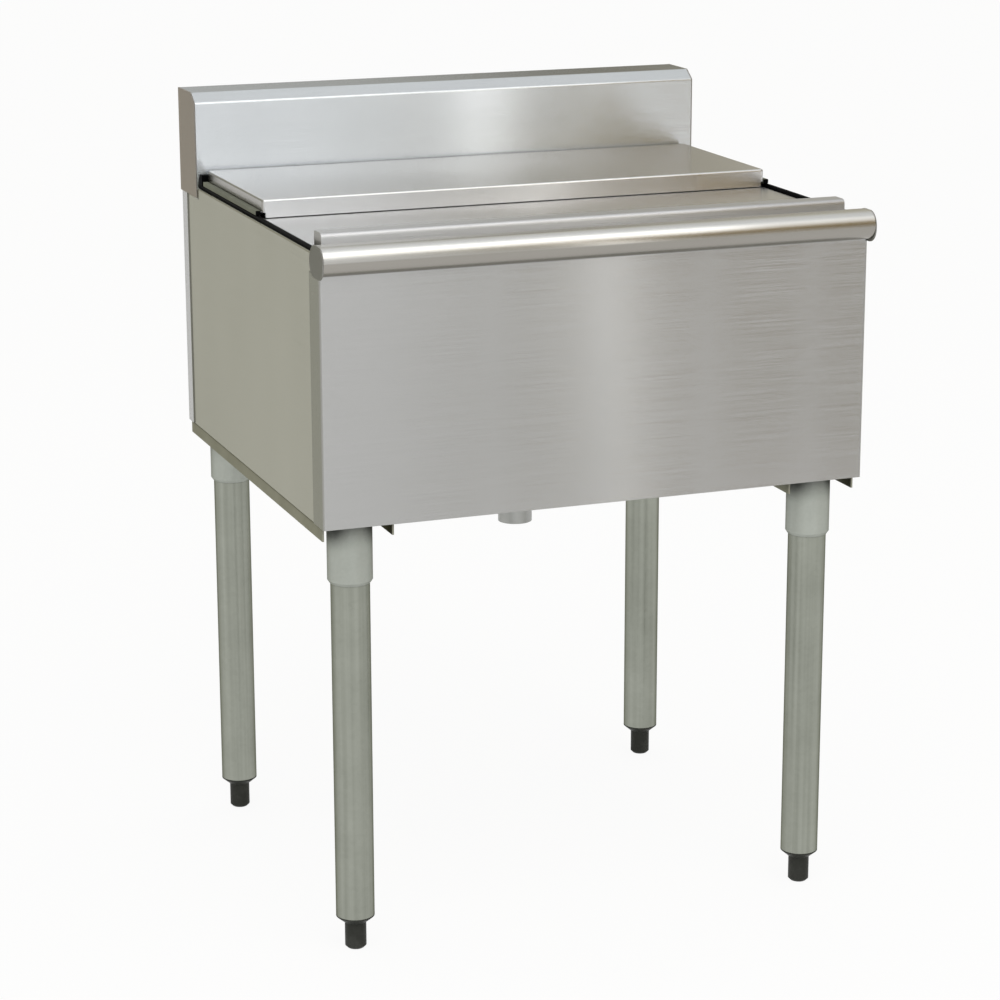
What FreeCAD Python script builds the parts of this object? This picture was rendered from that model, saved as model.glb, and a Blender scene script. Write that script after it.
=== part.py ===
# Insulated ice bin for under a bar: a foamed stainless box on four tubular legs,
# with a backsplash, a rounded front edge and two covers that slide in plastic tracks.
# Millimetres. +Z is up, the front faces -Y, the origin is the centre of the footprint on the floor.
import FreeCAD
import Part
import math
import os

Vec = FreeCAD.Vector

# Overall size
width = 609.6             # over the end caps, a 24 inch unit
depth = 544.0             # nose of the front edge to the back panel
leg_height = 476.0        # floor to the underside of the box
body_height = 269.0       # underside to the deck round the ice well
splash_rise = 118.6       # deck to the top of the backsplash

# Sheet metal
sheet = 1.2               # outer panels
liner_sheet = 1.0
cover_sheet = 1.0
channel_sheet = 2.0
bend = 1.5                # inside radius of a folded edge

# Front edge
nose_overhang = 17.0      # nose in front of the front panel
nose_height = 30.5
nose_rise = 22.5          # deck to the top of the nose
nose_depth = 43.0         # nose to its rear wall
nose_back = 18.0          # outer radius of its rear top edge
nose_foot = 14.0          # rear wall's foot on the deck
nose_return = 30.0        # underside of the nose, back over the front panel
cap_drop = 3.0            # end cap below the nose
cap_lap = 2.0             # end cap behind the rear wall
cap_corner = 14.0         # rounded lower rear corner of the end cap

# Backsplash
splash_depth = 69.0
slope_depth = 15.0        # top front edge slopes back
slope_height = 10.5
slope_bend = 3.5          # outer radius of the slope's folds
splash_foot = 15.0        # foot on the deck
splash_return = 30.0      # turned down at the back

# Box
front_return = 34.0       # front panel round the corner
rear_return = 22.0        # back panel round the corner
front_ledge = 20.0        # top flange of the front panel
pan_flange = 20.0
pan_relief = 4.0          # open corner between two flanges of the bottom pan
foam = 38.0               # insulation at the front, the sides and the bottom
rim_seam = 1.6            # deck to the lower edge of the rim rail
rim_height = 10.9
well_setback = 13.0       # ice well in front of the backsplash
well_corner = 20.0
well_cove = 16.0          # radius round the floor of the well

# Cover tracks
track_wall = 4.0
track_floor = 2.7
track_ledge = 12.0        # floor inside the wall
track_height = 16.0       # deck to the top of the wall
track_stop = 6.5          # rear stop, along the track
stop_drop = 5.0           # rear stop below the top of the rear cover
track_end = 2.5           # front end wall, along the track

# Covers
cover_play = 1.5          # each side, to the track wall
cover_lift = 0.3          # running gap under a cover
cover_end_gap = 0.5       # to the end wall and the stop
cover_corner = 3.5        # rounded corners in plan
front_cover_height = 9.5
rear_cover_height = 14.0
rear_cover_depth = 218.0
rear_cover_foot = 5.5     # side flange turned out over the track wall
glide_height = 2.7        # plastic glide between that foot and the track wall
glide_wall = 1.0          # glide round the outer edge of the foot and over it
glide_grip = 4.5          # glide's hold on the foot, under and over it
cover_lap = 32.0          # front cover under the rear one
lip_gap = 1.0             # rear cover's front lip above the front cover

# Pull handle
handle_inset = 3.5        # from the side of the front cover
handle_setback = 2.0      # from the front of the front cover
handle_depth = 24.0
handle_round = 5.0        # outer radius of its front top edge
handle_headroom = 2.5     # under the rear cover

# Drain
drain_setback = 252.0     # from the front panel
tail_diameter = 38.1
tail_wall = 1.0
tail_drop = 82.5          # below the box
shank_diameter = 47.6
shank_drop = 24.0
shank_wall = 5.0
drain_flange = 38.0       # radius
flange_thick = 2.5
gasket_thick = 1.5
gasket_margin = 4.0       # inside the flange's edge
thread_gap = 0.2          # round the shank, in holes and nuts
strainer_thick = 1.2
strainer_margin = 7.0     # rim of the flange round the strainer
strainer_hole = 3.2       # radius
strainer_ring = 10.0      # radius of the ring of holes
strainer_holes = 8        # in the ring
flange_bevel = 1.0
locknut_thick = 9.0
nut_wall = 8.0            # locknut and slip nut round the shank
slip_nut_height = 17.0
slip_nut_lift = 1.0       # slip nut above the start of the flare
tail_flare = 3.0          # tailpiece's top flares out at 45 degrees
tail_flare_rim = 1.5      # upright rim above the flare
foam_bore_gap = 8.0       # hole in the foam round the shank

# Legs
channel_width = 77.0
channel_flange = 15.0
channel_inset = 2.6       # from the side of the box
channel_front = 30.5      # from the nose
channel_rear = 4.0        # from the back panel
front_leg_inset = 60.4    # leg axis from the nose
rear_leg_inset = 31.4     # leg axis from the back panel
tube_diameter = 41.3
tube_wall = 1.6
tube_bottom = 38.0
socket_gap = 0.2
socket_wall = 2.95
socket_roof = 3.0
socket_length = 67.0
socket_taper = 3.5        # height of the tapered mouth
mouth_wall = 0.6          # wall left at the mouth
screw_radius = 4.0
screw_height = 35.0       # above the mouth of the socket
screw_head = 4.0          # proud of the socket
hex_key = 2.0             # radius of the hexagon socket
hex_depth = 3.0

# Feet
collar_height = 8.0
collar_radius = 13.0      # lower end of the tapered collar
plug_length = 36.0
plug_gap = 0.1
foot_radius = 11.5
foot_bevel = 2.5
stem_radius = 6.35
stem_gap = 0.3
stem_length = 38.0

# Studs that hold the channels
stud_radius = 4.0
stud_gap = 0.4
stud_length = 13.0
stud_nut = 7.5            # corner radius of the hexagon
stud_nut_thick = 6.5
stud_count = 3
stud_margin = 60.0        # first and last stud from the leg axes

# Places that follow from the sizes above
side = width / 2 - sheet              # outer face of the box
nose_front = -depth / 2
back = depth / 2
face = nose_front + nose_overhang     # front panel
nose_rear = nose_front + nose_depth
splash_face = back - splash_depth
box_bottom = leg_height
deck = leg_height + body_height
nose_top = deck + nose_rise
nose_bottom = nose_top - nose_height
splash_top = deck + splash_rise
panel_out = side - sheet              # outer face of a side panel
panel_in = panel_out - sheet
rail_in = panel_in - sheet            # inner face of the rim rail
rim_bottom = deck + rim_seam
rim_top = rim_bottom + rim_height
well_half = panel_in - foam - liner_sheet
well_front = face + sheet + foam + liner_sheet
well_rear = splash_face - well_setback
well_floor = box_bottom + sheet + foam + liner_sheet
track_in = rail_in - track_wall       # inner face of the track wall
track_top = deck + track_height
front_cover_half = track_in - cover_play
front_cover_low = deck + track_floor + cover_lift
front_cover_top = front_cover_low + front_cover_height
front_cover_front = nose_rear + track_end + cover_end_gap
rear_cover_out = rail_in - cover_play
rear_cover_half = rear_cover_out - rear_cover_foot
glide_low = track_top + cover_lift
rear_cover_low = glide_low + glide_height
rear_cover_top = rear_cover_low + rear_cover_height
rear_cover_rear = splash_face - track_stop - cover_end_gap
rear_cover_front = rear_cover_rear - rear_cover_depth
front_cover_rear = rear_cover_front + cover_lap
handle_top = rear_cover_top - cover_sheet - handle_headroom
drain_y = face + drain_setback
tail_radius = tail_diameter / 2
shank_radius = shank_diameter / 2
gasket_low = well_floor
flange_low = well_floor + gasket_thick
flange_top = flange_low + flange_thick
shank_low = box_bottom - shank_drop
rim_low = shank_low - tail_flare_rim
flare_low = rim_low - tail_flare
tube_radius = tube_diameter / 2
channel_out = side - channel_inset
leg_x = channel_out - channel_width / 2
leg_front_y = nose_front + front_leg_inset
leg_rear_y = back - rear_leg_inset
web_low = box_bottom - channel_sheet
socket_bore = tube_radius + socket_gap
socket_radius = socket_bore + socket_wall
socket_low = web_low - socket_length
collar_low = tube_bottom - collar_height
legs = {
    "front_left": (-leg_x, leg_front_y),
    "front_right": (leg_x, leg_front_y),
    "rear_left": (-leg_x, leg_rear_y),
    "rear_right": (leg_x, leg_rear_y),
}


def box(x0, x1, y0, y1, z0, z1):
    return Part.makeBox(x1 - x0, y1 - y0, z1 - z0, Vec(x0, y0, z0))


def rod(radius, x, y, z0, z1):
    return Part.makeCylinder(radius, z1 - z0, Vec(x, y, z0))


def hexagon(radius, x, y, z0, z1):
    corners = [Vec(x + radius * math.cos(math.pi * i / 3), y + radius * math.sin(math.pi * i / 3), z0)
               for i in range(7)]
    return Part.Face(Part.makePolygon(corners)).extrude(Vec(0, 0, z1 - z0))


def mirrored(shape):
    return shape.mirror(Vec(0, 0, 0), Vec(1, 0, 0))


def in_yz(point):
    return Vec(0, point.x, point.y)


def in_xz(point):
    return Vec(point.x, 0, point.y)


def in_xy(point):
    return Vec(point.x, point.y, 0)


def outline(corners, place):
    """Face inside (a, b, radius) corners, each rounded by its radius, set in a plane by place."""
    points = [Vec(a, b, 0) for a, b, radius in corners]
    arcs = []
    for i, here in enumerate(points):
        radius = corners[i][2]
        into = (here - points[i - 1]).normalize()
        out = (points[(i + 1) % len(points)] - here).normalize()
        turn = into.getAngle(out)
        reach = radius * math.tan(turn / 2)
        centre_way = (out - into).normalize()
        middle = here + centre_way * (radius / math.cos(turn / 2) - radius)
        arcs.append((here - into * reach, middle, here + out * reach))
    edges = []
    for i, (first, middle, last) in enumerate(arcs):
        following = arcs[(i + 1) % len(arcs)][0]
        if first.distanceToPoint(last) > 1e-6:
            edges.append(Part.Arc(place(first), place(middle), place(last)).toShape())
        if last.distanceToPoint(following) > 1e-6:
            edges.append(Part.LineSegment(place(last), place(following)).toShape())
    return Part.Face(Part.Wire(edges))


def bent_sheet(path, gauge, place):
    """Section of a folded sheet: path runs along its outer face as (a, b, outer radius), metal on its left."""
    points = [Vec(a, b, 0) for a, b, radius in path]
    ways = [(points[i + 1] - points[i]).normalize() for i in range(len(points) - 1)]
    normals = [Vec(-way.y, way.x, 0) for way in ways]
    inner = []
    for i, (a, b, radius) in enumerate(path):
        before = normals[max(i - 1, 0)]
        after = normals[min(i, len(normals) - 1)]
        inside = points[i] + (before + after) * (gauge / (1 + before.dot(after)))
        inner.append((inside.x, inside.y, max(radius - gauge, 0)))
    return outline(path + inner[::-1], place)


def turned(corners, x, y):
    """Solid of revolution about a vertical axis, from (radius, height, rounding) corners."""
    solid = outline(corners, in_xz).revolve(Vec(0, 0, 0), Vec(0, 0, 1), 360)
    solid.translate(Vec(x, y, 0))
    return solid


def rounded_block(half, y0, y1, z0, z1, corner, edge, edge_level):
    """Box with upright corners rounded in plan and the edges at one level rounded over."""
    block = box(-half, half, y0, y1, z0, z1)
    uprights = [e for e in block.Edges if abs(e.Vertexes[0].Z - e.Vertexes[1].Z) > 1e-6]
    block = block.makeFillet(corner, uprights)
    rim = [e for e in block.Edges if all(abs(v.Z - edge_level) < 1e-6 for v in e.Vertexes)]
    return block.makeFillet(edge, rim)


def cover_pan(half, y0, y1, z0, z1):
    """Cover folded down on all four sides."""
    outer_bend = bend + cover_sheet
    outer = rounded_block(half, y0, y1, z0, z1, cover_corner, outer_bend, z1)
    inner = rounded_block(half - cover_sheet, y0 + cover_sheet, y1 - cover_sheet, z0 - cover_sheet,
                          z1 - cover_sheet, cover_corner - cover_sheet, bend, z1 - cover_sheet)
    return outer.cut(inner)


# Outer panels

def front_panel():
    fold = bend + sheet
    rear = face + front_return
    path = [(-side, rear, 0), (-side, face, fold), (side, face, fold), (side, rear, 0)]
    apron = bent_sheet(path, sheet, in_xy).extrude(Vec(0, 0, nose_bottom - box_bottom))
    apron.translate(Vec(0, 0, box_bottom))
    ledge = box(-panel_in, panel_in, face + sheet, face + sheet + front_ledge, nose_bottom - sheet, nose_bottom)
    return apron.fuse(ledge).removeSplitter()


def side_panel():
    """Flat sheet behind the folded corners of the front and back panels, clear of their bends."""
    front_end = face + sheet + bend
    rear_end = back - sheet - bend
    corners = [
        (front_end, box_bottom, 0),
        (rear_end, box_bottom, 0),
        (rear_end, deck, 0),
        (splash_face, deck, 0),
        (splash_face, rim_top - 1.5 * sheet, 0),
        (nose_rear, rim_top - 1.5 * sheet, 0),
        (nose_rear, nose_bottom - sheet, 0),
        (front_end, nose_bottom - sheet, 0),
    ]
    panel = outline(corners, in_yz).extrude(Vec(sheet, 0, 0))
    panel.translate(Vec(panel_in, 0, 0))
    return panel


def back_panel():
    fold = bend + sheet
    front = back - rear_return
    path = [(side, front, 0), (side, back, fold), (-side, back, fold), (-side, front, 0)]
    lower = bent_sheet(path, sheet, in_xy).extrude(Vec(0, 0, rim_bottom - box_bottom))
    lower.translate(Vec(0, 0, box_bottom))
    upper = box(-side, side, back - sheet, back, rim_bottom, splash_top - splash_return)
    return lower.fuse(upper).removeSplitter()


def bottom_pan():
    """Pan folded up on four sides, with the corners left open."""
    fold = bend + sheet
    y0 = face + sheet
    y1 = back - sheet
    top = box_bottom + pan_flange
    x1 = panel_in
    across = [(-x1, top, 0), (-x1, box_bottom, fold), (x1, box_bottom, fold), (x1, top, 0)]
    along = [(y0, top, 0), (y0, box_bottom, fold), (y1, box_bottom, fold), (y1, top, 0)]
    side_folds = bent_sheet(across, sheet, in_xz).extrude(Vec(0, y1 - y0 - 2 * pan_relief, 0))
    side_folds.translate(Vec(0, y0 + pan_relief, 0))
    end_folds = bent_sheet(along, sheet, in_yz).extrude(Vec(2 * (x1 - pan_relief), 0, 0))
    end_folds.translate(Vec(pan_relief - x1, 0, 0))
    hole = rod(shank_radius + thread_gap, 0, drain_y, box_bottom, top)
    return side_folds.fuse(end_folds).removeSplitter().cut(hole)


# Ice well and its insulation

def ice_liner():
    outer = rounded_block(well_half + liner_sheet, well_front - liner_sheet, well_rear + liner_sheet,
                          well_floor - liner_sheet, deck, well_corner + liner_sheet,
                          well_cove + liner_sheet, well_floor - liner_sheet)
    inner = rounded_block(well_half, well_front, well_rear, well_floor, deck + liner_sheet,
                          well_corner, well_cove, well_floor)
    flange = box(-rail_in, rail_in, nose_rear - nose_foot, back - sheet, deck - liner_sheet, deck)
    hole = rod(shank_radius + thread_gap, 0, drain_y, well_floor - liner_sheet, well_floor)
    return outer.fuse(flange).cut(inner).cut(hole).removeSplitter()


def foam_slabs():
    """Foam between the liner and the panels, cut as five slabs."""
    low = well_floor - liner_sheet
    high = deck - liner_sheet
    y0 = face + sheet
    y1 = well_front - liner_sheet
    y2 = well_rear + liner_sheet
    y3 = back - sheet
    x_out = panel_in
    x_in = well_half + liner_sheet
    x_end = panel_out - bend
    bottom = box(-x_out + sheet, x_out - sheet, y0 + sheet, y3 - sheet, box_bottom + sheet, low)
    corner = bend + sheet
    uprights = [e for e in bottom.Edges if abs(e.Vertexes[0].Z - e.Vertexes[1].Z) > 1e-6]
    bottom = bottom.makeChamfer(corner, uprights)
    foot = [e for e in bottom.Edges if all(abs(v.Z - box_bottom - sheet) < 1e-6 for v in e.Vertexes)]
    bottom = bottom.makeChamfer(bend, foot)
    bottom = bottom.cut(rod(shank_radius + foam_bore_gap, 0, drain_y, box_bottom, low))
    return {
        "bottom_insulation": bottom,
        "front_insulation": box(-x_end, x_end, y0, y1, low, nose_bottom - sheet),
        "rear_insulation": box(-x_end, x_end, y2, y3, low, high),
        "left_insulation": box(-x_out, -x_in, y1, y2, low, high),
        "right_insulation": box(x_in, x_out, y1, y2, low, high),
    }


# Front edge, side rims and backsplash

def front_bullnose():
    fold = bend + sheet
    nose = nose_height / 2
    path = [
        (nose_rear - nose_foot, deck, 0),
        (nose_rear, deck, fold),
        (nose_rear, nose_top, nose_back),
        (nose_front, nose_top, nose),
        (nose_front, nose_bottom, nose),
        (nose_front + nose_return, nose_bottom, 0),
    ]
    edge = bent_sheet(path, sheet, in_yz).extrude(Vec(2 * side, 0, 0))
    edge.translate(Vec(-side, 0, 0))
    return edge


def bullnose_cap():
    low = nose_bottom - cap_drop
    rear = nose_rear + cap_lap
    nose = nose_height / 2
    corners = [
        (nose_front, nose_top, nose),
        (nose_front, low, nose),
        (rear, low, cap_corner),
        (rear, nose_top, nose_back + cap_lap / 2),
    ]
    cap = outline(corners, in_yz).extrude(Vec(sheet, 0, 0))
    cap.translate(Vec(side, 0, 0))
    return cap


def rim_rail():
    fold = 1.5 * sheet
    low = deck - liner_sheet
    path = [(side, rim_bottom, 0), (side, rim_top, fold), (rail_in, rim_top, fold), (rail_in, low, 0)]
    rail = bent_sheet(path, sheet, in_xz).extrude(Vec(0, splash_face - nose_rear, 0))
    rail.translate(Vec(0, nose_rear, 0))
    return rail


def backsplash():
    fold = bend + sheet
    path = [
        (back, splash_top - splash_return, 0),
        (back, splash_top, fold),
        (splash_face + slope_depth, splash_top, slope_bend),
        (splash_face, splash_top - slope_height, slope_bend),
        (splash_face, deck, fold),
        (splash_face + splash_foot, deck, 0),
    ]
    splash = bent_sheet(path, sheet, in_yz).extrude(Vec(2 * side, 0, 0))
    splash.translate(Vec(-side, 0, 0))
    return splash


def backsplash_cap():
    corners = [
        (splash_face, rim_bottom, 0),
        (back, rim_bottom, 0),
        (back, splash_top, bend),
        (splash_face + slope_depth, splash_top, slope_bend),
        (splash_face, splash_top - slope_height, slope_bend),
    ]
    cap = outline(corners, in_yz).extrude(Vec(sheet, 0, 0))
    cap.translate(Vec(side, 0, 0))
    return cap


# Covers and the tracks they slide in

def cover_track():
    """Track with a floor for the front cover, a wall for the rear cover's glide, and a stop at each end."""
    x_edge = track_in - track_ledge
    corners = [
        (x_edge, deck, 0),
        (rail_in, deck, 0),
        (rail_in, track_top, 1.0),
        (track_in, track_top, 1.0),
        (track_in, deck + track_floor, 1.0),
        (x_edge, deck + track_floor, 1.0),
    ]
    track = outline(corners, in_xz).extrude(Vec(0, splash_face - nose_rear, 0))
    track.translate(Vec(0, nose_rear, 0))
    stop = box(x_edge, rail_in, splash_face - track_stop, splash_face, deck, rear_cover_top - stop_drop)
    end = box(x_edge, rail_in, nose_rear, nose_rear + track_end, deck, rim_top)
    return track.fuse([stop, end]).removeSplitter()


def rear_cover():
    pan = cover_pan(rear_cover_half, rear_cover_front, rear_cover_rear, rear_cover_low, rear_cover_top)
    lip_half = rear_cover_half - cover_corner
    lip = box(-lip_half, lip_half, rear_cover_front, rear_cover_front + cover_sheet,
              front_cover_top + lip_gap, rear_cover_low)
    foot = box(rear_cover_half - cover_sheet, rear_cover_out, rear_cover_front + cover_corner,
               rear_cover_rear - cover_corner, rear_cover_low, rear_cover_low + cover_sheet)
    return pan.fuse([lip, foot, mirrored(foot)]).removeSplitter()


def cover_glide():
    """Edging on the turned-out foot of the rear cover, which slides on the track wall."""
    x_in = rear_cover_out - glide_grip
    x_out = rear_cover_out + glide_wall
    foot_top = rear_cover_low + cover_sheet
    corners = [
        (x_in, glide_low, 0),
        (x_out, glide_low, 0),
        (x_out, foot_top + glide_wall, 0.5),
        (x_in, foot_top + glide_wall, 0),
        (x_in, foot_top, 0),
        (rear_cover_out, foot_top, 0),
        (rear_cover_out, rear_cover_low, 0),
        (x_in, rear_cover_low, 0),
    ]
    front = rear_cover_front + cover_corner
    glide = outline(corners, in_xz).extrude(Vec(0, rear_cover_rear - cover_corner - front, 0))
    glide.translate(Vec(0, front, 0))
    return glide


def front_cover():
    return cover_pan(front_cover_half, front_cover_front, front_cover_rear, front_cover_low, front_cover_top)


def front_cover_handle():
    """Raised rib along the front cover: an upturned channel with closed ends, welded on by its edges."""
    half = front_cover_half - handle_inset
    front = front_cover_front + handle_setback
    rear = front + handle_depth
    fold = bend + sheet
    path = [
        (rear, front_cover_top, 0),
        (rear, handle_top, fold),
        (front, handle_top, handle_round),
        (front, front_cover_top, 0),
    ]
    rib = bent_sheet(path, sheet, in_yz).extrude(Vec(2 * half, 0, 0))
    near_end = outline(path, in_yz).extrude(Vec(sheet, 0, 0))
    far_end = near_end.translated(Vec(2 * half - sheet, 0, 0))
    handle = rib.fuse([near_end, far_end]).removeSplitter()
    handle.translate(Vec(-half, 0, 0))
    return handle


# Drain

def drain_body():
    bore = shank_radius - shank_wall
    seat = drain_flange - strainer_margin
    corners = [
        (bore, shank_low, 0),
        (shank_radius, shank_low, 0),
        (shank_radius, flange_low, 0),
        (drain_flange, flange_low, 0),
        (drain_flange, flange_top - flange_bevel, 0),
        (drain_flange - flange_bevel, flange_top, 0),
        (seat, flange_top, 0),
        (seat, flange_top - strainer_thick, 0),
        (bore, flange_top - strainer_thick, 0),
    ]
    return turned(corners, 0, drain_y)


def drain_strainer():
    """Disc with a ring of holes round a middle one."""
    low = flange_top - strainer_thick
    disc = rod(drain_flange - strainer_margin - thread_gap, 0, drain_y, low, flange_top)
    holes = [rod(strainer_hole, 0, drain_y, low, flange_top)]
    for i in range(strainer_holes):
        angle = 2 * math.pi * i / strainer_holes
        x = strainer_ring * math.cos(angle)
        y = drain_y + strainer_ring * math.sin(angle)
        holes.append(rod(strainer_hole, x, y, low, flange_top))
    return disc.cut(holes)


def drain_gasket():
    ring = rod(drain_flange - gasket_margin, 0, drain_y, gasket_low, flange_low)
    return ring.cut(rod(shank_radius + thread_gap, 0, drain_y, gasket_low, flange_low))


def drain_locknut():
    low = box_bottom - locknut_thick
    nut = hexagon(shank_radius + nut_wall, 0, drain_y, low, box_bottom)
    return nut.cut(rod(shank_radius + thread_gap, 0, drain_y, low, box_bottom))


def drain_slip_nut():
    """Nut on the shank, with a cone that draws the tailpiece's flared top up against it."""
    low = flare_low + slip_nut_lift
    high = low + slip_nut_height
    inside = [
        (0, low, 0),
        (tail_radius + slip_nut_lift + thread_gap, low, 0),
        (tail_radius + tail_flare + thread_gap, rim_low, 0),
        (shank_radius + thread_gap, rim_low, 0),
        (shank_radius + thread_gap, high, 0),
        (0, high, 0),
    ]
    return hexagon(shank_radius + nut_wall, 0, drain_y, low, high).cut(turned(inside, 0, drain_y))


def drain_tailpiece():
    inner = tail_radius - tail_wall
    low = box_bottom - tail_drop
    corners = [
        (inner, low, 0),
        (tail_radius, low, 0),
        (tail_radius, flare_low, 0),
        (tail_radius + tail_flare, rim_low, 0),
        (tail_radius + tail_flare, shank_low, 0),
        (inner, shank_low, 0),
    ]
    return turned(corners, 0, drain_y)


# Legs

def stud_places():
    """Stud axes along both channels, between the legs."""
    first = leg_front_y + stud_margin
    last = leg_rear_y - stud_margin
    rows = [first + (last - first) * i / (stud_count - 1) for i in range(stud_count)]
    return [(x, y) for x in (-leg_x, leg_x) for y in rows]


def leg_channel():
    fold = bend + channel_sheet
    low = box_bottom - channel_flange
    inner = channel_out - channel_width
    path = [
        (channel_out, low, 0),
        (channel_out, box_bottom, fold),
        (inner, box_bottom, fold),
        (inner, low, 0),
    ]
    y0 = nose_front + channel_front
    y1 = back - channel_rear
    channel = bent_sheet(path, channel_sheet, in_xz).extrude(Vec(0, y1 - y0, 0))
    channel.translate(Vec(0, y0, 0))
    holes = [rod(stud_radius + stud_gap, x, y, low, box_bottom) for x, y in stud_places() if x > 0]
    return channel.cut(holes)


def channel_studs():
    return [rod(stud_radius, x, y, box_bottom - stud_length, box_bottom) for x, y in stud_places()]


def channel_nuts():
    low = web_low - stud_nut_thick
    return [hexagon(stud_nut, x, y, low, web_low).cut(rod(stud_radius + stud_gap, x, y, low, web_low))
            for x, y in stud_places()]


def leg_socket(x, y):
    roof = web_low - socket_roof
    corners = [
        (0, web_low, 0),
        (0, roof, 0),
        (socket_bore, roof, 0),
        (socket_bore, socket_low, 0),
        (socket_bore + mouth_wall, socket_low, 0),
        (socket_radius, socket_low + socket_taper, 0),
        (socket_radius, web_low, 0),
    ]
    socket = turned(corners, x, y)
    start = Vec(x, y, socket_low + screw_height)
    hole = Part.makeCylinder(screw_radius + thread_gap, socket_radius, start, Vec(0, 1, 0))
    return socket.cut(hole)


def leg_tube(x, y):
    high = web_low - socket_roof
    return rod(tube_radius, x, y, tube_bottom, high).cut(rod(tube_radius - tube_wall, x, y, tube_bottom, high))


def leg_set_screws():
    """Hexagon socket screws through the rear of the sockets, against the tubes."""
    screws = []
    for x, y in legs.values():
        tip = Vec(x, y + tube_radius, socket_low + screw_height)
        length = socket_radius + screw_head - tube_radius
        screw = Part.makeCylinder(screw_radius, length, tip, Vec(0, 1, 0))
        key = hexagon(hex_key, 0, 0, 0, hex_depth)
        key.rotate(Vec(0, 0, 0), Vec(1, 0, 0), -90)
        key.translate(tip + Vec(0, length - hex_depth, 0))
        screws.append(screw.cut(key))
    return screws


def foot_insert(x, y):
    """Plastic plug in the tube, with a collar that tapers down to the foot."""
    plug = tube_radius - tube_wall - plug_gap
    bore = stem_radius + stem_gap
    corners = [
        (bore, collar_low, 0),
        (collar_radius, collar_low, 0),
        (tube_radius, tube_bottom - 1.5, 0),
        (tube_radius, tube_bottom, 0),
        (plug, tube_bottom, 0),
        (plug, tube_bottom + plug_length, 0),
        (bore, tube_bottom + plug_length, 0),
    ]
    return turned(corners, x, y)


def bullet_foot(x, y):
    """Foot with a threaded stem, drawn up against the collar."""
    corners = [
        (0, 0, 0),
        (foot_radius - foot_bevel, 0, 0),
        (foot_radius, foot_bevel, 0),
        (foot_radius, collar_low, 0),
        (stem_radius, collar_low, 0),
        (stem_radius, collar_low + stem_length, 0),
        (0, collar_low + stem_length, 0),
    ]
    return turned(corners, x, y)


def build():
    nodes = {
        "front_panel": front_panel(),
        "back_panel": back_panel(),
        "bottom_pan": bottom_pan(),
        "ice_liner": ice_liner(),
        "front_bullnose": front_bullnose(),
        "backsplash": backsplash(),
        "rear_cover": rear_cover(),
        "front_cover": front_cover(),
        "front_cover_handle": front_cover_handle(),
        "drain_body": drain_body(),
        "drain_strainer": drain_strainer(),
        "drain_gasket": drain_gasket(),
        "drain_locknut": drain_locknut(),
        "drain_slip_nut": drain_slip_nut(),
        "drain_tailpiece": drain_tailpiece(),
        "channel_studs": Part.makeCompound(channel_studs()),
        "channel_nuts": Part.makeCompound(channel_nuts()),
        "leg_set_screws": Part.makeCompound(leg_set_screws()),
    }
    nodes.update(foam_slabs())
    handed = {
        "side_panel": side_panel(),
        "bullnose_cap": bullnose_cap(),
        "rim_rail": rim_rail(),
        "backsplash_cap": backsplash_cap(),
        "cover_track": cover_track(),
        "cover_glide": cover_glide(),
        "leg_channel": leg_channel(),
    }
    for name, shape in handed.items():
        nodes["right_" + name] = shape
        nodes["left_" + name] = mirrored(shape)
    for name, (x, y) in legs.items():
        nodes[name + "_leg_socket"] = leg_socket(x, y)
        nodes[name + "_leg_tube"] = leg_tube(x, y)
        nodes[name + "_foot_insert"] = foot_insert(x, y)
        nodes[name + "_bullet_foot"] = bullet_foot(x, y)
    return nodes


os.makedirs("parts", exist_ok=True)
for node, shape in sorted(build().items()):
    shape.exportStep("parts/" + node + ".step")
    state = "valid" if shape.isValid() else "INVALID"
    print(node, len(shape.Solids), "solids", round(shape.Volume / 1000, 1), "cm3", state)
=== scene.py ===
import math

import bmesh
import bpy
from mathutils import Euler, Matrix, Vector


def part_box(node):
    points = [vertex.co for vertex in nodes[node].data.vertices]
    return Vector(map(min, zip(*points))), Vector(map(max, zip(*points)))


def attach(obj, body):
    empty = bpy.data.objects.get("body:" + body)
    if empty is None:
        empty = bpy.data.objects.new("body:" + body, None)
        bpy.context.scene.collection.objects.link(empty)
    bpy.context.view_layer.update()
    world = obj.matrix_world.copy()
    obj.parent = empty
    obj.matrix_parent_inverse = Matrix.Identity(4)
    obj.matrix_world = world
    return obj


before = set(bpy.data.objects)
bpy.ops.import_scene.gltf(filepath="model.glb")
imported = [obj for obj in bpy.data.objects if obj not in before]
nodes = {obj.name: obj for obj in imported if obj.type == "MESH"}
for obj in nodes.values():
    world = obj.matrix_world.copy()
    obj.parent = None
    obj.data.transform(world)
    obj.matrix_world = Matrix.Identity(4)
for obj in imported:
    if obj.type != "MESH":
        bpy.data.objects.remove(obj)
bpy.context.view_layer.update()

scene = bpy.context.scene
scene.view_settings.view_transform = "Standard"
print("frame loaded,", len(nodes), "nodes")

mm = 0.001  # the sizes of patterns are given in millimetres
mixA, mixB, mixOut = 6, 7, 2  # colour sockets of a Mix node
noiseLow, noiseHigh = 0.3, 0.7  # most values of a noise lie between these


def hexColour(code):  # sRGB hex to the linear values that shaders use
    parts = [int(code[i:i + 2], 16) / 255 for i in (1, 3, 5)]
    return [c / 12.92 if c <= 0.04045 else ((c + 0.055) / 1.055) ** 2.4 for c in parts] + [1.0]


def addNode(tree, kind, settings=None, links=None):  # settings go to properties or inputs, links to inputs
    node = tree.nodes.new(kind)
    for key, value in (settings or {}).items():
        if isinstance(key, str) and hasattr(node, key):
            setattr(node, key, value)
        else:
            node.inputs[key].default_value = value
    for key, source in (links or {}).items():
        tree.links.new(source, node.inputs[key])
    return node


def newMaterial(name):
    material = bpy.data.materials.new(name)
    material.use_nodes = True
    material.node_tree.nodes.clear()
    return material, material.node_tree


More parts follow.
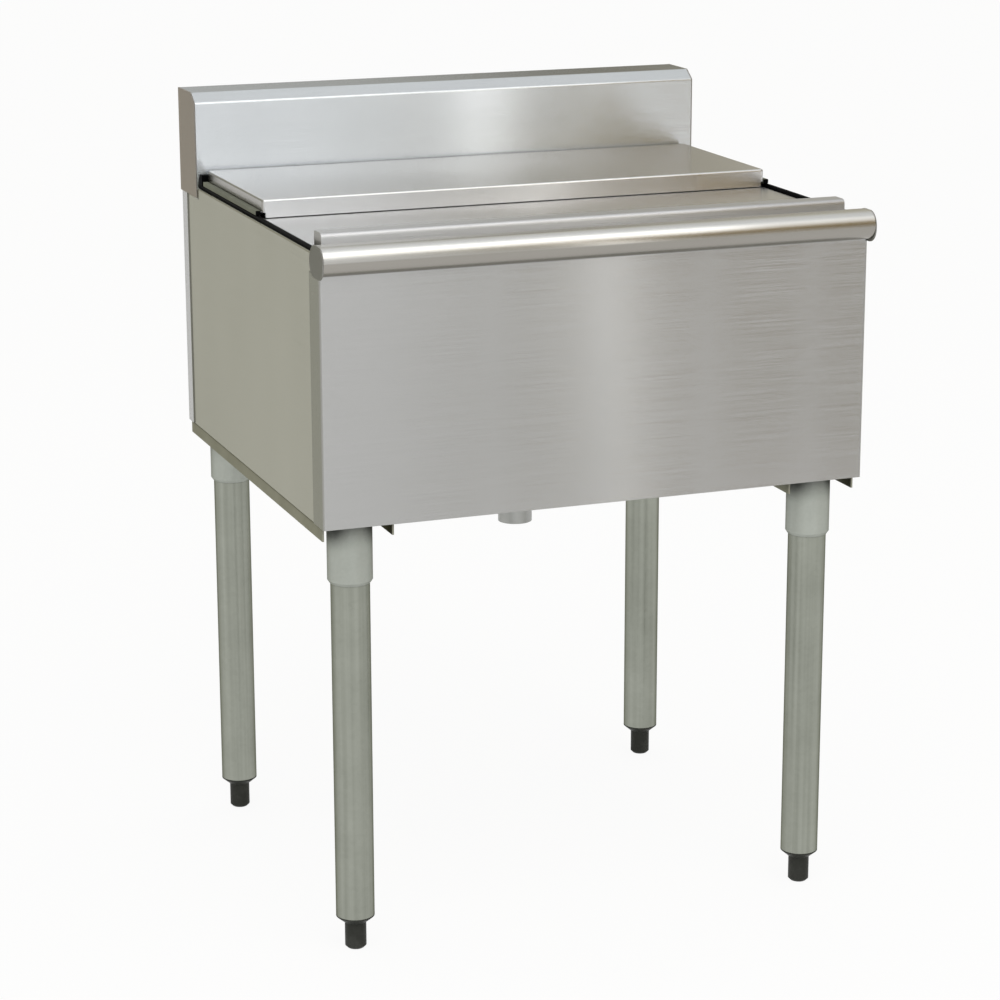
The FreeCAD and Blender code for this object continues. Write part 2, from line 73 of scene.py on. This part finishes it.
def dress(material, *names):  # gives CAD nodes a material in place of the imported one
    for name in names:
        for slot in nodes[name].material_slots:
            slot.material = material


def pair(name):
    return ["left_" + name, "right_" + name]


def corners(name):
    return [corner + name for corner in ("front_left_", "front_right_", "rear_left_", "rear_right_")]


# Stainless sheet, rolled and then polished with a belt in one direction.
# The fine parallel scratches stretch every reflection across the grain, so light shows as soft upright bands.
def beltPolishedSteel(name, look):
    material, tree = newMaterial(name)
    place = addNode(tree, "ShaderNodeTexCoord")
    alongX = look["grain"] == "x"
    noises = {}
    for part in ("scratch", "streak"):
        along, across = 1 / (look[part + "Length"] * mm), 1 / (look[part + "Width"] * mm)
        stretch = (along, across, across) if alongX else (across, along, across)
        lines = addNode(tree, "ShaderNodeMapping", {"Scale": stretch}, {"Vector": place.outputs["Object"]})
        noises[part] = addNode(tree, "ShaderNodeTexNoise", {"Scale": 1.0, "Detail": 2.0, "Roughness": 0.5},
                               {"Vector": lines.outputs["Vector"]})
    haze = addNode(tree, "ShaderNodeTexNoise", {"Scale": 1 / (look["hazeSize"] * mm), "Detail": 3.0},
                   {"Vector": place.outputs["Object"]})
    blend = addNode(tree, "ShaderNodeMath", {"operation": "MULTIPLY_ADD", 1: look["streak"]},
                    {0: noises["streak"].outputs["Fac"], 2: haze.outputs["Fac"]})
    tone = addNode(tree, "ShaderNodeMapRange",
                   {"From Min": noiseLow + noiseLow * look["streak"],
                    "From Max": noiseHigh + noiseHigh * look["streak"]},
                   {"Value": blend.outputs["Value"]})
    colour = addNode(tree, "ShaderNodeMix",
                     {"data_type": "RGBA", mixA: hexColour(look["dark"]), mixB: hexColour(look["light"])},
                     {0: tone.outputs["Result"]})
    # painted shade: faces that turn to the side are toned darker than the flat of the sheet
    edge = addNode(tree, "ShaderNodeBevel", {"samples": 4, "Radius": look["edge"] * mm})
    axis = addNode(tree, "ShaderNodeSeparateXYZ", None, {"Vector": edge.outputs["Normal"]})
    turned = addNode(tree, "ShaderNodeMath", {"operation": "ABSOLUTE"}, {0: axis.outputs["X"]})
    fold = addNode(tree, "ShaderNodeMapRange", {"From Min": look["foldFrom"], "From Max": look["foldTo"]},
                   {"Value": turned.outputs["Value"]})
    sideShaded = addNode(tree, "ShaderNodeMix",
                     {"data_type": "RGBA", "blend_type": "MULTIPLY", mixB: hexColour(look["fold"])},
                     {0: fold.outputs["Result"], mixA: colour.outputs[mixOut]})
    # painted shade: faces that turn downward are toned darker
    under = addNode(tree, "ShaderNodeMapRange",
                    {"From Min": look["downShadeStart"], "From Max": look["downShadeStart"] - look["downShadeSpan"]},
                    {"Value": axis.outputs["Z"]})
    downShaded = addNode(tree, "ShaderNodeMix",
                     {"data_type": "RGBA", "blend_type": "MULTIPLY", mixB: hexColour(look["under"])},
                     {0: under.outputs["Result"], mixA: sideShaded.outputs[mixOut]})
    rough = addNode(tree, "ShaderNodeMapRange",
                    {"From Min": noiseLow, "From Max": noiseHigh,
                     "To Min": look["roughness"] - look["roughSpread"],
                     "To Max": look["roughness"] + look["roughSpread"]},
                    {"Value": noises["streak"].outputs["Fac"]})
    # a scratch tilts the surface across the grain only
    askew = 0.02  # the grain is a touch askew, so that it goes on round a fold
    way = addNode(tree, "ShaderNodeCombineXYZ",
                  {"X": 1.0 if alongX else askew, "Y": askew if alongX else 1.0})
    side = addNode(tree, "ShaderNodeVectorMath", {"operation": "CROSS_PRODUCT"},
                   {0: edge.outputs["Normal"], 1: way.outputs["Vector"]})
    across = addNode(tree, "ShaderNodeVectorMath", {"operation": "NORMALIZE"}, {0: side.outputs["Vector"]})
    swing = addNode(tree, "ShaderNodeMapRange",
                    {"clamp": False, "To Min": -look["tilt"], "To Max": look["tilt"]},
                    {"Value": noises["scratch"].outputs["Fac"]})
    lean = addNode(tree, "ShaderNodeVectorMath", {"operation": "SCALE"},
                   {0: across.outputs["Vector"], "Scale": swing.outputs["Result"]})
    bent = addNode(tree, "ShaderNodeVectorMath", {"operation": "ADD"},
                   {0: edge.outputs["Normal"], 1: lean.outputs["Vector"]})
    normal = addNode(tree, "ShaderNodeVectorMath", {"operation": "NORMALIZE"}, {0: bent.outputs["Vector"]})
    steel = addNode(tree, "ShaderNodeBsdfPrincipled",
                    {"Metallic": 1.0, "Anisotropic": 1.0, "Anisotropic Rotation": 0.25,  # a quarter turn
                     "Specular Tint": hexColour(look["turn"])},
                    {"Base Color": downShaded.outputs[mixOut], "Roughness": rough.outputs["Result"],
                     "Normal": normal.outputs["Vector"], "Tangent": way.outputs["Vector"]})
    addNode(tree, "ShaderNodeOutputMaterial", None, {"Surface": steel.outputs["BSDF"]})
    return material


# the scratches have their real spacing; streaks are the wider lines among them that show at arm's length
panelLook = {"grain": "x", "scratchLength": 120, "scratchWidth": 0.02,
             "streakLength": 120, "streakWidth": 0.8, "streak": 0.3, "hazeSize": 400,
             "dark": "#aeaeac", "light": "#b8b8b7", "turn": "#c2c2b4",
             # painted shade: the colour that tones down faces turned to the side
             "fold": "#e1e1dc", "foldFrom": 0.3, "foldTo": 0.9,
             # painted shade: the colour that tones down faces turned downward
             "under": "#c8c8bd", "downShadeStart": -0.4, "downShadeSpan": 0.5,
             "roughness": 0.18, "roughSpread": 0.008, "tilt": 1.0, "edge": 0.5}
# the looks below are copies of the one stainless sheet; their base tones differ from part to part as painted
# light and shade, each toned to how brightly that part is lit
sideLook = dict(panelLook, grain="y", dark="#abaaa1", light="#b5b4ab", fold="#ffffff", turn="#cfcfc6",
                tilt=0.8)
backLook = dict(panelLook, fold="#ffffff", turn="#ffffff")
splashLook = dict(panelLook, dark="#d2d5d8", light="#dadddf", fold="#d8d4cc", turn="#cacac6", tilt=0.6)
coverLook = dict(panelLook, dark="#d6d6d7", light="#dedede", fold="#b4b2aa", turn="#ffffff", tilt=0.5)
lowerCoverLook = dict(coverLook, dark="#e0e0e2", light="#e8e8e9")
handleLook = dict(coverLook, dark="#c0c0c1", light="#cacacb", fold="#c8c6be", roughness=0.28)
noseLook = dict(panelLook, dark="#cdccc9", light="#d5d4d1", fold="#b0aea8", under="#c2bfba", turn="#ffffff",
                downShadeStart=0.4, tilt=0.25)
capLook = dict(panelLook, dark="#a6a5a1", light="#aeada9", fold="#d0d0cc", turn="#a4a69a",
               roughness=0.4, edge=3.0)
splashCapLook = dict(capLook, dark="#a8a49e", light="#b0aca6", fold="#f0eeea", turn="#d0c4b6")
innerLook = dict(panelLook, dark="#b4b5b4", light="#bfc0bf", fold="#ffffff", turn="#ffffff", roughness=0.4)

dress(beltPolishedSteel("polishedSteelFront", panelLook), "front_panel", "bottom_pan")
dress(beltPolishedSteel("polishedSteelBack", backLook), "back_panel")
dress(beltPolishedSteel("polishedSteelSide", sideLook), *pair("side_panel"), *pair("rim_rail"))
dress(beltPolishedSteel("polishedSteelSplash", splashLook), "backsplash")
dress(beltPolishedSteel("polishedSteelCover", coverLook), "rear_cover")
dress(beltPolishedSteel("polishedSteelLowerCover", lowerCoverLook), "front_cover")
dress(beltPolishedSteel("polishedSteelHandle", handleLook), "front_cover_handle")
dress(beltPolishedSteel("polishedSteelNose", noseLook), "front_bullnose")
dress(beltPolishedSteel("polishedSteelCap", capLook), *pair("bullnose_cap"))
dress(beltPolishedSteel("polishedSteelSplashCap", splashCapLook), *pair("backsplash_cap"))
dress(beltPolishedSteel("polishedSteelLiner", innerLook), "ice_liner")
print("stainless sheet dressed")


# Zinc-coated steel: dull grey, with upright lines from drawing the tube, a faint crystal spangle from the
# hot dip and handling marks. The oxide on it darkens the turn of a round piece just inside its bright outline.
def zincCoat(name, look):
    material, tree = newMaterial(name)
    place = addNode(tree, "ShaderNodeTexCoord")
    spangle = addNode(tree, "ShaderNodeTexVoronoi", {"Scale": 1 / (look["spangle"] * mm)},
                      {"Vector": place.outputs["Object"]})
    crystal = addNode(tree, "ShaderNodeSeparateColor", None, {"Color": spangle.outputs["Color"]})
    stain = addNode(tree, "ShaderNodeTexNoise",
                    {"Scale": 1 / (look["stain"] * mm), "Detail": 5.0, "Roughness": 0.6},
                    {"Vector": place.outputs["Object"]})
    across, along = 1 / (look["drawWidth"] * mm), 1 / (look["drawLength"] * mm)
    upright = addNode(tree, "ShaderNodeMapping", {"Scale": (across, across, along)},
                      {"Vector": place.outputs["Object"]})
    drawn = addNode(tree, "ShaderNodeTexNoise", {"Scale": 1.0, "Detail": 2.0},
                    {"Vector": upright.outputs["Vector"]})
    blend = addNode(tree, "ShaderNodeMath", {"operation": "MULTIPLY_ADD", 1: look["spangleShare"]},
                    {0: crystal.outputs["Red"], 2: stain.outputs["Fac"]})
    lined = addNode(tree, "ShaderNodeMath", {"operation": "MULTIPLY_ADD", 1: look["drawShare"]},
                    {0: drawn.outputs["Fac"], 2: blend.outputs["Value"]})
    tone = addNode(tree, "ShaderNodeMapRange",
                   {"From Min": look["stainFrom"] + noiseLow * look["drawShare"],
                    "From Max": look["stainTo"] + look["spangleShare"] + noiseHigh * look["drawShare"]},
                   {"Value": lined.outputs["Value"]})
    colour = addNode(tree, "ShaderNodeMix",
                     {"data_type": "RGBA", mixA: hexColour(look["dark"]), mixB: hexColour(look["light"])},
                     {0: tone.outputs["Result"]})
    # painted shade: the colour darkens in inner corners and where other parts come near, as ambient occlusion
    # finds them
    corner = addNode(tree, "ShaderNodeAmbientOcclusion", {"samples": 8, "Distance": look["shadeReach"] * mm})
    unshaded = addNode(tree, "ShaderNodeMapRange",
                    {"From Min": look["shadeFrom"], "From Max": look["shadeTo"],
                     "To Min": look["shadeDepth"], "To Max": 1.0},
                    {"Value": corner.outputs["AO"]})
    cornerShaded = addNode(tree, "ShaderNodeVectorMath", {"operation": "SCALE"},
                     {0: colour.outputs[mixOut], "Scale": unshaded.outputs["Result"]})
    rough = addNode(tree, "ShaderNodeMapRange",
                    {"To Min": look["roughness"] - look["smoother"],
                     "To Max": look["roughness"] + look["rougher"]},
                    {"Value": stain.outputs["Fac"]})
    edge = addNode(tree, "ShaderNodeBevel", {"samples": 4, "Radius": look["edge"] * mm})
    bump = addNode(tree, "ShaderNodeBump", {"Strength": look["bump"], "Distance": look["bumpDepth"] * mm},
                   {"Height": stain.outputs["Fac"], "Normal": edge.outputs["Normal"]})
    zinc = addNode(tree, "ShaderNodeBsdfPrincipled",
                   {"Metallic": look["metal"], "Specular Tint": hexColour(look["turn"])},
                   {"Base Color": cornerShaded.outputs["Vector"], "Roughness": rough.outputs["Result"],
                    "Normal": bump.outputs["Normal"]})
    addNode(tree, "ShaderNodeOutputMaterial", None, {"Surface": zinc.outputs["BSDF"]})
    return material


# the lines from drawing are finer on a real tube, and drawn this wide so that they show
tubeLook = {"spangle": 5, "spangleShare": 0.1, "stain": 60, "stainFrom": 0.35, "stainTo": 0.75,
            "drawWidth": 7, "drawLength": 600, "drawShare": 1.5,
            "shadeReach": 30, "shadeFrom": 0.55, "shadeTo": 0.9, "shadeDepth": 0.35,
            "dark": "#8b8e84", "light": "#a9aca2", "turn": "#94948a", "metal": 1.0,
            "roughness": 0.3, "smoother": 0.05, "rougher": 0.07, "bump": 0.15, "bumpDepth": 0.1, "edge": 0.5}
# the socket's painted shade reaches deeper, so that its top under the box goes dark
socketLook = dict(tubeLook, spangle=3, drawShare=0.2, dark="#a9ada6", light="#b9bdb6", roughness=0.4, metal=0.8,
                  shadeFrom=0.6, shadeTo=0.97, shadeDepth=0.2)
channelLook = dict(tubeLook, drawShare=0.0, dark="#9f9e8f", light="#afae9f", roughness=0.5)
boltLook = dict(tubeLook, spangle=2, stain=8, drawShare=0.0, dark="#9b9a90", light="#b3b2a8", roughness=0.4)

dress(zincCoat("galvanisedTube", tubeLook), *corners("leg_tube"))
dress(zincCoat("castZincSocket", socketLook), *corners("leg_socket"))
dress(zincCoat("galvanisedChannel", channelLook), *pair("leg_channel"))
dress(zincCoat("zincPlatedBolt", boltLook), "channel_studs", "channel_nuts", "leg_set_screws")
print("zinc coats dressed")


# Moulded plastic: black or grey all through, with a fine matt texture from the mould.
def mouldedPlastic(name, look):
    material, tree = newMaterial(name)
    place = addNode(tree, "ShaderNodeTexCoord")
    texture = addNode(tree, "ShaderNodeTexNoise", {"Scale": 1 / (look["texture"] * mm), "Detail": 4.0},
                      {"Vector": place.outputs["Object"]})
    scuff = addNode(tree, "ShaderNodeTexNoise",
                    {"Scale": 1 / (look["scuff"] * mm), "Detail": 6.0, "Roughness": 0.65},
                    {"Vector": place.outputs["Object"]})
    tone = addNode(tree, "ShaderNodeMapRange", {"From Min": look["scuffFrom"], "From Max": look["scuffTo"]},
                   {"Value": scuff.outputs["Fac"]})
    colour = addNode(tree, "ShaderNodeMix",
                     {"data_type": "RGBA", mixA: hexColour(look["dark"]), mixB: hexColour(look["light"])},
                     {0: tone.outputs["Result"]})
    edge = addNode(tree, "ShaderNodeBevel", {"samples": 4, "Radius": look["edge"] * mm})
    bump = addNode(tree, "ShaderNodeBump", {"Strength": look["bump"], "Distance": look["bumpDepth"] * mm},
                   {"Height": texture.outputs["Fac"], "Normal": edge.outputs["Normal"]})
    plastic = addNode(tree, "ShaderNodeBsdfPrincipled",
                      {"Roughness": look["roughness"], "IOR": look["ior"],
                       "Specular IOR Level": look["specular"]},
                      {"Base Color": colour.outputs[mixOut], "Normal": bump.outputs["Normal"]})
    addNode(tree, "ShaderNodeOutputMaterial", None, {"Surface": plastic.outputs["BSDF"]})
    return material


# the mould's texture is a little coarser than a real one, so that it shows
trackLook = {"texture": 0.6, "bump": 0.3, "bumpDepth": 0.05, "scuff": 25, "scuffFrom": 0.45, "scuffTo": 0.8,
             "dark": "#080808", "light": "#121212", "roughness": 0.5, "specular": 0.02, "ior": 1.5, "edge": 0.5}
glideLook = dict(trackLook, dark="#75776b", light="#868879", roughness=0.55)
footLook = dict(trackLook, dark="#393a37", light="#4b4c49", roughness=0.45, specular=0.08)
gasketLook = dict(trackLook, dark="#141414", light="#1c1c1c", roughness=0.7)

blackPolythene = mouldedPlastic("blackPolythene", trackLook)
dress(blackPolythene, *pair("cover_track"))
dress(mouldedPlastic("greyPolythene", glideLook), *pair("cover_glide"))
dress(mouldedPlastic("nylon", footLook), *corners("foot_insert"), *corners("bullet_foot"))
dress(mouldedPlastic("gasketRubber", gasketLook), "drain_gasket")
print("plastics dressed")

# Plugs pushed on the front ends of the rear cover's glides, so that no cut edge of the steel foot shows
plugForm = {"depth": 0.0022, "round": 0.0008, "segments": 3}
for side in ("left", "right"):
    low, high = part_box(side + "_cover_glide")
    size = Vector((high[0] - low[0], plugForm["depth"], high[2] - low[2]))
    middle = Vector(((low[0] + high[0]) / 2, low[1] - plugForm["depth"] / 2, (low[2] + high[2]) / 2))
    form = bmesh.new()
    bmesh.ops.create_cube(form, size=1.0, matrix=Matrix.Translation(middle) @ Matrix.Diagonal(size).to_4x4())
    front = [edge for edge in form.edges if any(corner.co.y < middle.y for corner in edge.verts)]
    bmesh.ops.bevel(form, geom=front, offset=plugForm["round"], segments=plugForm["segments"],
                    profile=0.5, affect="EDGES")  # 0.5 is round
    plugMesh = bpy.data.meshes.new(side + "_glide_plug")
    form.to_mesh(plugMesh)
    form.free()
    plugMesh.materials.append(blackPolythene)
    plug = bpy.data.objects.new(side + "_glide_plug", plugMesh)
    scene.collection.objects.link(plug)
    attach(plug, "rear_cover")
print("glide plugs made")


# Foam, sealed in the box: pale yellow, with fine cells.
def pouredFoam(name, look):
    material, tree = newMaterial(name)
    place = addNode(tree, "ShaderNodeTexCoord")
    cells = addNode(tree, "ShaderNodeTexVoronoi", {"Scale": 1 / (look["cell"] * mm)},
                    {"Vector": place.outputs["Object"]})
    colour = addNode(tree, "ShaderNodeMix",
                     {"data_type": "RGBA", mixA: hexColour(look["dark"]), mixB: hexColour(look["light"])},
                     {0: cells.outputs["Distance"]})
    bump = addNode(tree, "ShaderNodeBump", {"Strength": look["bump"], "Distance": look["bumpDepth"] * mm},
                   {"Height": cells.outputs["Distance"]})
    foam = addNode(tree, "ShaderNodeBsdfPrincipled", {"Roughness": look["roughness"]},
                   {"Base Color": colour.outputs[mixOut], "Normal": bump.outputs["Normal"]})
    addNode(tree, "ShaderNodeOutputMaterial", None, {"Surface": foam.outputs["BSDF"]})
    return material


# the cells are a few times coarser than real ones, which are too fine to show
foamLook = {"cell": 1.5, "bump": 0.4, "bumpDepth": 0.5, "roughness": 0.9, "dark": "#cdbf8c", "light": "#e4d9ae"}
dress(pouredFoam("polyurethaneFoam", foamLook), "bottom_insulation", "front_insulation", "rear_insulation",
      "left_insulation", "right_insulation")
print("foam dressed")

# the drain's plating and brass have no crystals to speak of, and only faint lines from turning
drainLook = dict(tubeLook, spangle=8, stain=20, spangleShare=0.02, drawShare=0.2,
                 dark="#a8a9a6", light="#bdbebb", roughness=0.45, turn="#ffffff")
brassLook = dict(drainLook, dark="#a58a4f", light="#bda163", roughness=0.35)
dress(zincCoat("platedDrain", drainLook), "drain_body", "drain_strainer", "drain_slip_nut", "drain_tailpiece")
dress(zincCoat("turnedBrass", brassLook), "drain_locknut")
print("drain dressed")

# Studio: a white floor and pale walls that differ from side to side
studio = {"floorSize": 60.0, "floor": "#f4f3f0", "whiten": 0.92,
          "ceiling": "#eceeef", "ceilingFrom": 0.5, "ceilingTo": 0.95,
          # wall colour by compass angle, 0 behind the object, 90 at its right, -90 at its left
          "walls": {-180: "#ffffff", -165: "#f4f6f5", -114: "#c9c7be", -68: "#d8d6cc", -28: "#b4b0a0",
                    -15: "#c6c3b7", 10: "#eef0f0", 17: "#d8d8d6", 20: "#d2d2ce", 22.5: "#8a8678",
                    25: "#a09a88", 30: "#c8c4b4", 35: "#c8c4b6", 72: "#e2e1dc", 100: "#8f8c84",
                    130: "#807458", 154.5: "#8a7238", 158.3: "#b0aa96", 162: "#fafcfc", 180: "#ffffff"}}
world = bpy.data.worlds.new("studio")
scene.world = world
world.use_nodes = True
world.node_tree.nodes.clear()
tree = world.node_tree
sky = addNode(tree, "ShaderNodeTexCoord")
way = addNode(tree, "ShaderNodeSeparateXYZ", None, {"Vector": sky.outputs["Generated"]})
compass = addNode(tree, "ShaderNodeMath", {"operation": "ARCTAN2"}, {0: way.outputs["X"], 1: way.outputs["Y"]})
turn = addNode(tree, "ShaderNodeMapRange", {"From Min": -math.pi, "From Max": math.pi},
               {"Value": compass.outputs["Value"]})
walls = addNode(tree, "ShaderNodeValToRGB", None, {"Fac": turn.outputs["Result"]})
stops = walls.color_ramp.elements
stops[1].position = 1.0
for angle in list(studio["walls"])[1:-1]:  # the ramp already has its two ends
    stops.new((angle + 180) / 360)
for stop, colour in zip(stops, studio["walls"].values()):
    stop.color = hexColour(colour)
upwards = addNode(tree, "ShaderNodeMapRange",
                  {"interpolation_type": "SMOOTHSTEP", "From Min": studio["ceilingFrom"],
                   "From Max": studio["ceilingTo"]},
                  {"Value": way.outputs["Z"]})
dome = addNode(tree, "ShaderNodeMix", {"data_type": "RGBA", mixB: hexColour(studio["ceiling"])},
               {0: upwards.outputs["Result"], mixA: walls.outputs["Color"]})
glow = addNode(tree, "ShaderNodeBackground", {"Strength": 1.0}, {"Color": dome.outputs[mixOut]})
addNode(tree, "ShaderNodeOutputWorld", None, {"Surface": glow.outputs["Background"]})

floorMesh = bpy.data.meshes.new("floor")
half = studio["floorSize"] / 2
floorMesh.from_pydata([(-half, -half, 0), (half, -half, 0), (half, half, 0), (-half, half, 0)],
                      [], [(0, 1, 2, 3)])
floor = bpy.data.objects.new("floor", floorMesh)
scene.collection.objects.link(floor)
# white to the eye and in reflections, with a share of plain paper that takes the object's shadow
paper, tree = newMaterial("studioPaper")
seen = addNode(tree, "ShaderNodeLightPath")
gloss = addNode(tree, "ShaderNodeMath", {"operation": "MAXIMUM"},
                {0: seen.outputs["Is Camera Ray"], 1: seen.outputs["Is Glossy Ray"]})
direct = addNode(tree, "ShaderNodeMath", {"operation": "MAXIMUM"},
                 {0: gloss.outputs["Value"], 1: seen.outputs["Is Transmission Ray"]})
share = addNode(tree, "ShaderNodeMath", {"operation": "MULTIPLY", 1: studio["whiten"]},
                {0: direct.outputs["Value"]})
matt = addNode(tree, "ShaderNodeBsdfDiffuse", {"Color": hexColour(studio["floor"])})
white = addNode(tree, "ShaderNodeEmission", {"Color": (1, 1, 1, 1), "Strength": 1.0})
mixed = addNode(tree, "ShaderNodeMixShader", None,
                {0: share.outputs["Value"], 1: matt.outputs["BSDF"], 2: white.outputs["Emission"]})
addNode(tree, "ShaderNodeOutputMaterial", None, {"Surface": mixed.outputs["Shader"]})
floorMesh.materials.append(paper)

# a long soft box overhead with a dimmer wing on its right, and an upright strip that makes the band on the front
softBoxes = {
    "overheadBox": {"at": (-0.3, -1.9, 3.1), "aim": (-0.3, -0.26, 0.76), "size": (3.6, 2.2), "radiance": 1.5},
    "overheadWing": {"at": (2.2, -1.9, 3.1), "aim": (2.2, -0.26, 0.76), "size": (1.4, 2.2), "radiance": 0.65},
    "uprightStrip": {"at": (1.82, -4.6, 1.3), "aim": (0, 0, 0.7), "size": (0.14, 2.4), "radiance": 1.4},
}
for name, lamp in softBoxes.items():
    light = bpy.data.lights.new(name, "AREA")
    light.shape = "RECTANGLE"
    light.size, light.size_y = lamp["size"]
    light.energy = lamp["radiance"] * math.pi * light.size * light.size_y
    box = bpy.data.objects.new(name, light)
    box.location = lamp["at"]
    box.rotation_euler = (Vector(lamp["aim"]) - Vector(lamp["at"])).to_track_quat("-Z", "Y").to_euler()
    scene.collection.objects.link(box)
print("studio lit")

view = {"at": (-1.1528, -3.0141, 1.2824), "pitch": 15.033, "yaw": -20.651, "roll": -0.127,
        "lens": 106.56, "sensor": 36.0, "farthest": 200.0}
camera = bpy.data.objects.new("camera", bpy.data.cameras.new("camera"))
camera.data.lens = view["lens"]
camera.data.sensor_width = view["sensor"]
camera.data.clip_end = view["farthest"]
camera.location = view["at"]
aim = Euler((math.radians(90 - view["pitch"]), 0, math.radians(view["yaw"]))).to_matrix()
camera.rotation_euler = (aim @ Matrix.Rotation(math.radians(view["roll"]), 3, "Z")).to_euler()
scene.collection.objects.link(camera)
scene.camera = camera
print("camera placed")
